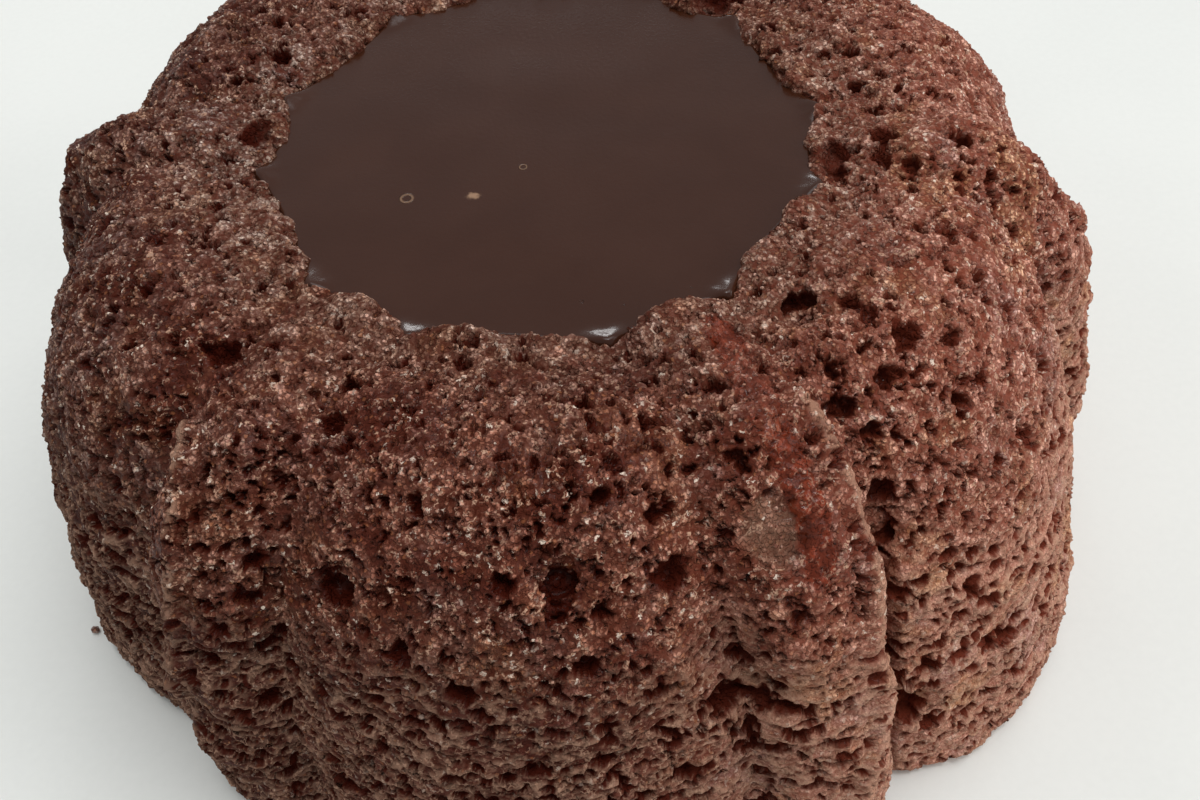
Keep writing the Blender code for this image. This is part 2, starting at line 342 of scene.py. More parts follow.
def shoulder_reach(rise, crown, reach, fall, square):
    """Reach of a lobe or ridge at a rise between 0, the foot, and 1, the crown."""
    return crown + (reach - crown) * (1 - min(rise, 1.0) ** fall) ** (1 / square)


def side_radius(angle, rise):
    """Radius of the fluted side at an angle and a rise."""
    lobe = shoulder_reach(rise, LOBE_CROWN, LOBE_REACH, LOBE_FALL, LOBE_SQUARE)
    share = BACK_SHARE_AT_AXIS + (1 - BACK_SHARE_AT_AXIS) * lobe / LOBE_REACH
    below_ledge = 1 / (1 + math.exp((rise * HEIGHT - LEDGE_HEIGHT) / LEDGE_SOFTNESS))
    ridge_reach = RIDGE_REACH - LEDGE_DEPTH * below_ledge
    ridge = shoulder_reach(rise, RIDGE_CROWN, ridge_reach, RIDGE_FALL, RIDGE_SQUARE)
    radius = smooth_larger(
        rounded_back(angle_from_centre(angle, 0), lobe, LOBE_BACK * share),
        rounded_back(angle_from_centre(angle, PETAL_ANGLE / 2), ridge, RIDGE_BACK),
        GROOVE_BLEND,
    )
    below_round = 1 - min(rise * HEIGHT / FOOT_ROUND, 1.0)
    return radius - FOOT_ROUND * (1 - math.sqrt(1 - below_round**2))


def across_petal(angle, groove_angle):
    """How far across its lobe or ridge an angle lies, 0 to 1, and True on a ridge."""
    from_lobe = abs(angle_from_centre(angle, 0))
    if from_lobe <= groove_angle:
        return from_lobe / groove_angle, False
    from_ridge = abs(angle_from_centre(angle, PETAL_ANGLE / 2))
    return from_ridge / (PETAL_ANGLE / 2 - groove_angle), True


def well_radius(angle, depth):
    """Radius of the well's scalloped wall at an angle, and a depth between 0 and 1."""
    across, on_ridge = across_petal(angle, GROOVE_ANGLE_AT_WELL)
    bulge = RIDGE_BULGE if on_ridge else LOBE_BULGE
    return WELL_REACH - bulge * (1 - across**2) - WELL_TAPER * depth


def groove_dip(angle, inward):
    """Drop of the crown towards its grooves; inward is 0 at the shoulder, 1 at the well."""
    swing = GROOVE_ANGLE_AT_WELL - GROOVE_ANGLE_AT_WALL
    across, _ = across_petal(angle, GROOVE_ANGLE_AT_WALL + swing * inward)
    return GROOVE_DIP * across**2 * (1 - (1 - DIP_LEFT_AT_WELL) * inward)


def at_angle(angle, radius, height):
    """The point at an angle, a radius and a height."""
    turn = math.radians(angle)
    return Vector((radius * math.sin(turn), -radius * math.cos(turn), height))


def angle_of(point):
    """The angle of a point about the upright axis."""
    return math.degrees(math.atan2(point.x, -point.y))


def fluted_point(blank):
    """Where a point of the cake's round blank goes in the even fluted form."""
    angle = angle_of(blank)
    radius = math.hypot(blank.x, blank.y)
    if radius > LOBE_REACH - TOLERANCE:
        rise = blank.z / HEIGHT
        dip = groove_dip(angle, 0.0) * rise**DIP_RISE_POWER
        return at_angle(angle, side_radius(angle, rise), blank.z - dip)
    if blank.z > HEIGHT - TOLERANCE:
        inward = (LOBE_REACH - radius) / (LOBE_REACH - WELL_REACH)
        outer = side_radius(angle, 1.0)
        across = outer + (well_radius(angle, 0.0) - outer) * inward
        drop = groove_dip(angle, inward) + LIP_DROP * inward**2
        return at_angle(angle, across, HEIGHT - drop)
    depth = (HEIGHT - blank.z) / WELL_DEPTH
    lip = HEIGHT - groove_dip(angle, 1.0) - LIP_DROP
    floor = HEIGHT - WELL_DEPTH
    height = floor + (lip - floor) * (1 - depth)
    return at_angle(angle, radius / WELL_REACH * well_radius(angle, depth), height)


def baked_point(point):
    """Where the uneven baking moves a point of the even form."""
    angle = angle_of(point)
    away = (angle - STRAY_RIDGE_ANGLE) / STRAY_RIDGE_SPREAD
    angle += STRAY_RIDGE_TURN * math.exp(-away * away)
    along_foot = (angle - SPREAD_FOOT_ANGLE) / SPREAD_FOOT_WIDTH
    spread = SPREAD_FOOT * math.exp(-along_foot * along_foot) * (1 - point.z / HEIGHT) ** 2
    radius = math.hypot(point.x, point.y)
    radius += spread * min(radius / LOBE_REACH, 1.0)
    return at_angle(angle, radius, point.z) + CROWN_LEAN * (point.z / HEIGHT)


def local_height(point, marks):
    """How far the holes or crags of a list reach at a point."""
    height = 0.0
    for angle, radius, rise, width, tallness, reach in marks:
        away = point - at_angle(angle, radius, rise)
        spread = (away.x**2 + away.y**2) / width**2 + away.z**2 / tallness**2
        height += reach * math.exp(-spread)
    return height


def near_ridge(point):
    """How near a point is to the top of a ridge: 1 on it and 0 from the groove on."""
    from_ridge = abs(angle_from_centre(angle_of(point), PETAL_ANGLE / 2))
    return smooth_step(1 - from_ridge / (PETAL_ANGLE / 2 - GROOVE_ANGLE_AT_WALL))


def relief(point, on_crown):
    """How far the solids' surface stands out at a point; below zero is a hollow."""
    swell = SWELL_HEIGHT * noise.noise(point / SWELL_SIZE + RELIEF_PLACE)
    place = point / CRAG_SIZE + RELIEF_PLACE
    crags = noise.fractal(place, CRAG_ROUGHNESS, CRAG_FINENESS, CRAG_LAYERS)
    height = swell + CRAG_HEIGHT * crags * (1 + RIDGE_CRAG_GAIN * near_ridge(point))
    height += local_height(point, CRAGS) - local_height(point, HOLES)
    if on_crown:
        from_well = math.hypot(point.x, point.y) - WELL_REACH
        return height * smooth_step(from_well / RELIEF_FADE)
    return height * smooth_step(point.z / RELIEF_FADE)


class Field:
    """An output of a node tree that takes part in Python sums, one node for each."""

    def __init__(self, graph, socket):
        self.graph = graph
        self.socket = socket

    @property
    def is_vector(self):
        return self.socket.type in {"VECTOR", "RGBA"}

    def output(self, name):
        """Another output of the same node."""
        return Field(self.graph, self.socket.node.outputs[name])

    def sum_with(self, operation, first, second):
        """A Math node, or a Vector Math node where either side is a vector."""
        sides = [side for side in (first, second) if isinstance(side, Field)]
        vectors = any(side.is_vector for side in sides)
        kind = "ShaderNodeVectorMath" if vectors else "ShaderNodeMath"
        return self.graph.node(kind, {"operation": operation}, {0: first, 1: second})

    def __add__(self, other):
        return self.sum_with("ADD", self, other)

    __radd__ = __add__

    def __sub__(self, other):
        return self.sum_with("SUBTRACT", self, other)

    def __rsub__(self, other):
        return self.sum_with("SUBTRACT", other, self)

    def __mul__(self, other):
        other_is_number = not isinstance(other, (Field, tuple))
        if self.is_vector and (other_is_number or isinstance(other, Field)):
            if other_is_number or not other.is_vector:
                scale = {"operation": "SCALE"}
                return self.graph.node("ShaderNodeVectorMath", scale, {0: self, "Scale": other})
        if not self.is_vector and isinstance(other, Field) and other.is_vector:
            return other * self
        return self.sum_with("MULTIPLY", self, other)

    def __truediv__(self, other):
        return self.sum_with("DIVIDE", self, other)

    def __pow__(self, other):
        return self.sum_with("POWER", self, other)


class Graph:
    """A node tree that is written as Python expressions."""

    def __init__(self, tree):
        self.tree = tree

    def node(self, kind, settings=(), inputs=(), output=0):
        """A node of a kind, with its settings first and then its inputs set or linked."""
        made = self.tree.nodes.new(kind)
        for name, value in dict(settings).items():
            setattr(made, name, value)
        for key, value in dict(inputs).items():
            if isinstance(value, Field):
                self.tree.links.new(value.socket, made.inputs[key])
            else:
                made.inputs[key].default_value = value
        return None if output is None else Field(self, made.outputs[output])

    def maths(self, operation, *values):
        """The result of a Math node."""
        return self.node("ShaderNodeMath", {"operation": operation}, dict(enumerate(values)))

    def length(self, vector):
        """The length of a vector."""
        return self.node("ShaderNodeVectorMath", {"operation": "LENGTH"}, {0: vector}, "Value")

    def noise(self, place, size, detail=0.0, roughness=0.5):
        """Noise whose features are size long."""
        inputs = {"Vector": place, "Scale": 1 / size, "Detail": detail, "Roughness": roughness}
        return self.node("ShaderNodeTexNoise", {}, inputs)

    def wander(self, place, size, detail, roughness=0.6):
        """A move that changes with the place, up to half a unit along each axis."""
        return self.noise(place, size, detail, roughness).output("Color") - (0.5, 0.5, 0.5)

    def cells(self, place, size):
        """Distance to the middle of the nearest of many cells, each about size across."""
        return self.node("ShaderNodeTexVoronoi", {}, {"Vector": place, "Scale": 1 / size})

    def ramp(self, value, start, end, first=0.0, last=1.0):
        """A soft change from first to last as value goes from start to end."""
        inputs = {
            "Value": value,
            "From Min": start,
            "From Max": end,
            "To Min": first,
            "To Max": last,
        }
        return self.node("ShaderNodeMapRange", {"interpolation_type": "SMOOTHSTEP"}, inputs)

    def larger(self, *values):
        """The largest of several numbers."""
        return functools.reduce(functools.partial(self.maths, "MAXIMUM"), values)

    def parts(self, vector):
        """The three numbers of a vector or colour."""
        split = self.node("ShaderNodeSeparateXYZ", {}, {0: vector})
        return split, split.output("Y"), split.output("Z")

    def join(self, x, y, z):
        """A vector of three numbers."""
        return self.node("ShaderNodeCombineXYZ", {}, {"X": x, "Y": y, "Z": z})

    def distance(self, place, point, half_sizes):
        """Distance from a point, counted in half sizes along each axis."""
        return self.length((place - point) * tuple(1 / size for size in half_sizes))

    def blend(self, share, first, second):
        """A colour between two others, which are fields or three numbers each."""
        colours = [side if isinstance(side, Field) else (*side, 1.0) for side in (first, second)]
        settings = {"data_type": "RGBA", "clamp_factor": True}
        return self.node("ShaderNodeMix", settings, {0: share, 6: colours[0], 7: colours[1]}, 2)

    def bump(self, height, distance):
        """Normals of a surface that a height between 0 and 1 lifts by up to a distance."""
        inputs = {"Strength": 1.0, "Distance": distance, "Height": height}
        return self.node("ShaderNodeBump", {}, inputs)

    def attribute(self, name):
        """A number kept on the mesh, read by a material."""
        return self.node("ShaderNodeAttribute", {"attribute_name": name}, {}, "Fac")


@functools.lru_cache(maxsize=1)
def crust_outline():
    """Radius, height and length from the well's lip of each row of the crust's blank."""
    turns = np.linspace(0.0, math.pi / 2, OUTLINE_SAMPLES)
    outline = [(LOBE_REACH, HEIGHT * math.sin(turn)) for turn in turns]
    across = np.linspace(LOBE_REACH, WELL_REACH, OUTLINE_SAMPLES)[1:]
    outline += [(radius, HEIGHT) for radius in across]
    lip_index = len(outline) - 1
    down = np.linspace(HEIGHT, HEIGHT - LIP_INSIDE, OUTLINE_SAMPLES // 6)[1:]
    outline += [(WELL_REACH, height) for height in down]
    lengths = np.zeros(len(outline))
    for angle in (0.0, PETAL_ANGLE / 2):
        formed = [fluted_point(at_angle(angle, *spot)) for spot in outline]
        steps = [(after - before).length for before, after in zip(formed, formed[1:])]
        lengths[1:] += np.cumsum(steps) / 2
    rows = np.linspace(0.0, lengths[-1], CRUST_ROWS + 1)
    radii, heights = np.array(outline).T
    from_lip = lengths[lip_index] - rows
    return np.interp(rows, lengths, radii), np.interp(rows, lengths, heights), from_lip


def spun(bm, points, steps):
    """Spin an outline of points a full turn about the upright axis."""
    verts = [bm.verts.new(point) for point in points]
    edges = [bm.edges.new(pair) for pair in zip(verts, verts[1:])]
    bmesh.ops.spin(
        bm,
        geom=verts + edges,
        cent=(0.0, 0.0, 0.0),
        axis=(0.0, 0.0, 1.0),
        dvec=(0.0, 0.0, 0.0),
        angle=math.tau,
        steps=steps,
        use_merge=True,
        use_duplicate=False,
    )
    # A spin leaves its faces in a new order each run, and smooth normals change with it
    bm.verts.index_update()
    in_order = sorted(bm.faces, key=lambda face: sorted(vertex.index for vertex in face.verts))
    for index, face in enumerate(in_order):
        face.index = index
    bm.faces.sort()


def named_mesh(bm, name):
    """The mesh of a bmesh, which is freed."""
    mesh = bpy.data.meshes.new(name)
    bm.to_mesh(mesh)
    bm.free()
    return mesh


def keep_numbers(mesh, name, values, kind="FLOAT", domain="POINT"):
    """Keep a number, or a vector, for each point or face of a mesh."""
    layer = mesh.attributes.new(name, kind, domain)
    field = "vector" if kind == "FLOAT_VECTOR" else "value"
    layer.data.foreach_set(field, np.asarray(values).ravel())


@functools.lru_cache(maxsize=1)
def crust_ring():
    """The whole crust in its formed shape, as a coarse mesh, and the shift that centres it."""
    radii, heights, from_lip = crust_outline()
    outline = [at_angle(0.0, radius, height) for radius, height in zip(radii, heights)]
    bm = bmesh.new()
    spun(bm, outline, PETALS * PETAL_COLUMNS)
    bmesh.ops.recalc_face_normals(bm, faces=bm.faces[:])
    mesh = named_mesh(bm, "crust_ring")
    blanks = [vertex.co.copy() for vertex in mesh.vertices]
    middles = [Vector(face.center) for face in mesh.polygons]
    formed = [baked_point(fluted_point(blank)) for blank in blanks]
    mesh.vertices.foreach_set("co", np.array(formed, dtype=np.float32).ravel())
    mesh.update()
    normals = [vertex.normal.copy() for vertex in mesh.vertices]
    moved = []
    for point, blank, normal in zip(formed, blanks, normals):
        on_side = math.hypot(blank.x, blank.y) > LOBE_REACH - TOLERANCE
        on_crown = blank.z > HEIGHT - TOLERANCE
        height = relief(point, on_crown) if on_side or on_crown else 0.0
        moved.append(point + normal * height)
    places = np.array(moved, dtype=np.float32)
    shift = (places.min(0) + places.max(0)) / 2 * np.array((1.0, 1.0, 0.0))
    places -= shift.astype(np.float32)
    mesh.vertices.foreach_set("co", places.ravel())
    mesh.update()
    keep_numbers(mesh, "out", [vertex.normal for vertex in mesh.vertices], "FLOAT_VECTOR")
    keep_numbers(mesh, "turn", [angle_of(blank) for blank in blanks])
    keep_numbers(mesh, "ridge", [near_ridge(blank) for blank in blanks])
    lengths = crust_lengths(blanks, radii, heights, from_lip)
    keep_numbers(mesh, "from_lip", lengths * TO_MM)
    sectors = [sector_of(angle_of(middle)) for middle in middles]
    keep_numbers(mesh, "sector", sectors, "INT", "FACE")
    return mesh, Vector([float(value) for value in shift])


def along_outline(radii, heights):
    """A number for each point of the blank that rises from the foot to inside the well."""
    on_top = heights >= HEIGHT - TOLERANCE
    inside = (radii < WELL_REACH + TOLERANCE) & ~on_top
    return np.where(inside, 3.0 - heights, LOBE_REACH - radii + heights + on_top)


def crust_lengths(blanks, radii, heights, from_lip):
    """Length along the outline from the well's lip, for each point of the blank."""
    row_keys = along_outline(radii, heights)
    order = np.argsort(row_keys)
    around = np.array([math.hypot(blank.x, blank.y) for blank in blanks])
    keys = along_outline(around, np.array([blank.z for blank in blanks]))
    return np.interp(keys, row_keys[order], from_lip[order])


def sector_of(angle):
    """Number of the lobe (even) or ridge (odd) that an angle lies in."""
    half_lobe = LOBE_COLUMNS / 2 * PETAL_ANGLE / PETAL_COLUMNS
    lobe = round(angle / PETAL_ANGLE) % PETALS
    if abs(angle_from_centre(angle, 0)) < half_lobe:
        return 2 * lobe
    return 2 * (math.floor(angle / PETAL_ANGLE) % PETALS) + 1


def keep_map(mesh, across, along):
    """Keep a map of the mesh, from two numbers for each point."""
    flat = np.stack([(side - side.min()) / np.ptp(side) for side in (across, along)], 1)
    corners = np.zeros(len(mesh.loops), dtype=np.int32)
    mesh.loops.foreach_get("vertex_index", corners)
    layer = mesh.uv_layers.new(name="OFBake")
    layer.uv.foreach_set("vector", flat[corners].ravel())


def point_numbers(layer, field, count, width=1):
    """The numbers of a layer of a mesh, as one row for each of its points."""
    numbers = np.zeros(count * width, dtype=np.float32)
    layer.foreach_get(field, numbers)
    return numbers.reshape(-1, width) if width > 1 else numbers


def finished(piece):
    """Apply a piece's modifiers, and keep only the numbers that its material reads."""
    graph = bpy.context.evaluated_depsgraph_get()
    mesh = bpy.data.meshes.new_from_object(
        piece.evaluated_get(graph), preserve_all_data_layers=True, depsgraph=graph
    )
    mesh.name = piece.name
    piece.modifiers.clear()
    rough = piece.data
    piece.data = mesh
    bpy.data.meshes.remove(rough)
    for name in ("out", "turn", "ridge", "from_lip", "sector"):
        layer = mesh.attributes.get(name)
        if layer is not None:
            mesh.attributes.remove(layer)
    mesh.shade_smooth()


def placed(name, mesh, material, node):
    """A piece of the cake, riding on the body, that stands for a node of the solids."""
    piece = bpy.data.objects.new(name, mesh)
    bpy.context.scene.collection.objects.link(piece)
    mesh.materials.append(material)
    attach(piece, "root")
    if node:
        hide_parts(node)
    return piece


def geometry_graph(name):
    """A new geometry node group, its graph, and the geometry that comes in."""
    group = bpy.data.node_groups.new(name, "GeometryNodeTree")
    group.interface.new_socket("Geometry", in_out="INPUT", socket_type="NodeSocketGeometry")
    group.interface.new_socket("Geometry", in_out="OUTPUT", socket_type="NodeSocketGeometry")
    graph = Graph(group)
    return group, graph, graph.node("NodeGroupInput")


def kept_number(graph, name, kind="FLOAT"):
    """A number or vector kept on the mesh, read by geometry nodes."""
    return graph.node("GeometryNodeInputNamedAttribute", {"data_type": kind}, {"Name": name})


def finish_relief(graph, geometry, offset, kept):
    """Store numbers on the points, and only then move the points by an offset."""
    for name, value in kept.items():
        settings = {"data_type": "FLOAT", "domain": "POINT"}
        inputs = {"Geometry": geometry, "Name": name, "Value": value}
        geometry = graph.node("GeometryNodeStoreNamedAttribute", settings, inputs)
    inputs = {"Geometry": geometry, "Offset": offset}
    geometry = graph.node("GeometryNodeSetPosition", {}, inputs)
    graph.node("NodeGroupOutput", {}, {0: geometry}, None)


def pores(graph, place, size, presence, narrow, wide):
    """Round pores in some of the cells: above 0 inside one, 1 in its middle."""
    cell = graph.cells(place, size)
    chance, girth, _ = graph.parts(cell.output("Color"))
    radius = girth * (wide - narrow) + narrow
    absent = graph.ramp(chance, presence, presence + 0.01, 0.0, 9.0)
    return 1.0 - cell / radius - absent


def from_mark(graph, place, mark):
    """Distance from a single pit, hollow or spot, counted in its half sizes."""
    *middle, half_width, half_tallness = mark
    half_sizes = (half_width, half_width, half_tallness)
    return graph.distance(place, tuple(at_angle(*middle)), half_sizes)


def named_pits(graph, place):
    """The single pits that stand out on the cake: above 0 inside one."""
    found = -1.0
    for pit in PITS_MM:
        found = graph.larger(found, 1.0 - from_mark(graph, place, pit))
    return found


def near_path(graph, place, path, reach):
    """How near a place is to a path: 1 on it and 0 from reach away."""
    near = 0.0
    points = [at_angle(*spot) for spot in path]
    for start, end in zip(points, points[1:]):
        along = end - start
        from_start = place - tuple(start)
        dot = {"operation": "DOT_PRODUCT"}
        inputs = {0: from_start, 1: tuple(along / along.length_squared)}
        share = graph.node("ShaderNodeVectorMath", dot, inputs, "Value")
        share = graph.maths("MINIMUM", graph.larger(share, 0.0), 1.0)
        distance = graph.length(from_start - share * graph.join(*along))
        near = graph.larger(near, graph.ramp(distance, reach, reach * 0.2))
    return near


def crust_relief_group(settings):
    """Geometry nodes that give the crust its pores, layers, lumps and grain."""
    group, graph, source = geometry_graph("crust relief")
    place = graph.node("GeometryNodeInputPosition") * TO_MM
    out = kept_number(graph, "out", "FLOAT_VECTOR")
    from_lip = kept_number(graph, "from_lip")
    ridge = kept_number(graph, "ridge")
    _, _, z = graph.parts(place)

    drift = graph.noise(place, 9.0, 2.0)
    wall = graph.ramp(z + drift * 11.0, 36.0, 24.0)
    crown = graph.ramp(from_lip + drift * 8.0, 15.0, 6.0)
    fade = graph.ramp(z, 0.0, 1.4) * graph.ramp(from_lip, -1.6, 2.4, 0.45, 1.0)

    wobble = graph.wander(place, 1.1, 3.0)
    jag = graph.wander(place, 0.5, 2.0)
    calm = graph.wander(place, 1.7, 1.0, 0.5)
    rough_warp = wobble * graph.ramp(wall, 0.0, 1.0, 2.4, 0.35)
    fine_warp = jag * graph.ramp(wall, 0.0, 1.0, 0.7, 0.1)
    warped = place + rough_warp + fine_warp + calm * wall * 2.2
    below = graph.larger(25.0 - z, 0.0)
    flat = warped + graph.join(0.0, 0.0, below * -0.5)
    flatter = warped + graph.join(0.0, 0.0, z * 1.6)

    some = graph.ramp(crown, 0.0, 1.0, 0.26, 0.15)
    openings = [(named_pits(graph, place + wobble * 1.8), PIT_DEPTH_MM)]
    for start, size, on_crown, on_wall, narrow, wide, most in PORE_KINDS:
        presence = some * on_crown + wall * on_wall
        openings.append((pores(graph, flat + start, size, presence, narrow, wide), most))
    hollow = graph.noise(flat, 1.0, 3.0, 0.62)
    hollow = graph.ramp(hollow, 0.44, 0.33) * (1.0 - wall * 0.7)
    crease = near_path(graph, place + wobble * 1.2, CREASE_MM, 1.7)
    right_crest = near_path(graph, place + wobble * 0.9, RIGHT_CREST_MM, 1.2)
    left_crest = near_path(graph, place + wobble * 0.7, LEFT_CREST_MM, 1.1)
    crest = graph.larger(right_crest, left_crest)
    groove = near_path(graph, place + wobble * 0.9, GROOVE_MM, 1.2)
    patch = graph.ramp(from_mark(graph, place + wobble * 1.8, PATCH_MM), 1.1, 0.7)

    swing = graph.noise(place, 13.0, 1.0) * 3.2 + graph.noise(place, 3.4) * 0.75
    phase = graph.maths("FRACT", z / 1.85 + swing)
    shelf = graph.ramp(phase, 0.0, 0.17) * (1.0 - phase)
    broken = graph.ramp(graph.noise(flat, 4.0, 1.0), 0.36, 0.60, 0.2, 1.0)
    layers = shelf * broken * wall
    wavy = graph.maths("ABSOLUTE", graph.noise(flatter, 3.2, 2.0, 0.55) - 0.5)
    fold = graph.ramp(wavy, 0.05, 0.0) * wall

    lumps = graph.noise(place, 4.5, 2.0, 0.5) - 0.5
    softer = graph.ramp(wall, 0.0, 1.0, 1.0, 0.35)
    clusters = (graph.noise(flat, 1.25, 4.0, 0.62) - 0.5) * softer
    grain = (0.45 - graph.cells(place + wobble * 0.5 + jag * 0.3, 0.58)) * softer
    rough = (1.0 - ridge * 0.2) * (1.0 - patch * 0.8)

    height = lumps * rough * settings.lump_height * TO_MM * 2.0
    height = height + clusters * rough * settings.crag_height * TO_MM * 2.0
    height = height + grain * settings.grain_height * TO_MM
    height = height + layers * settings.layer_height * TO_MM
    height = height + crest * 0.85 + fold * 0.22 - groove * 0.8
    depth = hollow * 0.5
    opening = graph.larger(*(inside for inside, _ in openings))
    for inside, most in openings:
        depth = graph.larger(depth, graph.ramp(inside, 0.0, 0.5) * most)
    open_share = (1.0 - crease * 0.5) * (1.0 - patch)
    depth = depth * settings.pore_depth * open_share + patch * DISH_DEPTH_MM
    at_rim = graph.ramp(from_lip, 3.0, 0.6) * graph.ramp(from_lip, -1.6, -0.2)
    at_rim = at_rim * graph.ramp(graph.noise(place, 2.4, 3.0, 0.55), 0.3, 0.7, 0.1, 1.5)
    height = ((height - depth) * fade + at_rim * settings.lip_rise * TO_MM) / TO_MM

    hang = graph.join(0.0, 0.0, layers * fade * (-settings.layer_height * 0.9))
    moved = out * height + hang
    # The pore number marks pores and hollows, which the material paints dark: the crumb's deep
    # red and painted shade in these recesses
    pore = graph.larger(graph.ramp(opening, -0.04, 0.12), hollow * 0.75) * fade * (1.0 - crease)
    # Pale rims of the holes, crest lines, layer lips and fold lines: partly the crumb's paler
    # edges and partly painted highlight where light catches them
    brink = graph.ramp(opening, -0.40, -0.05) * wall
    pale_crest_and_highlight = graph.ramp(crest, 0.8, 1.0) * 0.7
    edge = graph.larger(graph.ramp(layers, 0.6, 0.95), pale_crest_and_highlight, fold, brink * 0.5)
    # The groove right of the right ridge is painted dark too: painted shadow in the slot
    pore = graph.larger(pore * (1.0 - patch), groove * 0.7)
    kept = {
        "pore": pore,
        "edge": edge * (1.0 - pore),
        "crown": crown,
        "crease": crease,
        "smooth": patch,
        "wall": wall,
        # Painted shade and light by height: the material paints low crumb darker and raised crumb
        # lighter
        "relief_shade_and_tone": graph.ramp(clusters + grain * 0.35 + wall * 0.03, -0.16, 0.2),
    }
    finish_relief(graph, source, moved, kept)
    return group


def underside_relief_group():
    """Geometry nodes that give the flat underside its pores, which only go upwards."""
    group, graph, source = geometry_graph("underside relief")
    place = graph.node("GeometryNodeInputPosition") * TO_MM
    warped = place + graph.wander(place, 1.1, 3.0) * 1.4
    opening = pores(graph, warped, 3.3, 0.6, 0.14, 0.38)
    opening = graph.larger(opening, pores(graph, warped + (3.0, 8.0, 2.0), 1.9, 0.7, 0.2, 0.5))
    from_edge = graph.ramp(kept_number(graph, "from_lip"), 0.6, 2.4)
    opening = opening * from_edge - (1.0 - from_edge)
    upwards = graph.join(0.0, 0.0, graph.ramp(opening, 0.0, 0.5) / TO_MM)
    kept = {
        "pore": graph.ramp(opening, -0.04, 0.12),
        "wall": 1.0,
        # On the underside this number is only a tone that changes at random
        "relief_shade_and_tone": graph.ramp(graph.noise(warped, 1.25, 4.0, 0.62), 0.3, 0.7),
    }
    finish_relief(graph, source, upwards, kept)
    return group


def material_graph(name):
    """A new material, its graph, its main shader and the place on the object."""
    material = bpy.data.materials.new(name)
    material.use_nodes = True
    graph = Graph(material.node_tree)
    place = graph.node("ShaderNodeTexCoord", {}, {}, "Object") * TO_MM
    return material, graph, material.node_tree.nodes["Principled BSDF"], place


def feed(graph, shader, **values):
    """Link or set the shader's inputs; an underscore stands for a space in a name."""
    for key, value in values.items():
        socket = shader.inputs[key.replace("_", " ")]
        if isinstance(value, Field):
            graph.tree.links.new(value.socket, socket)
        else:
            socket.default_value = value


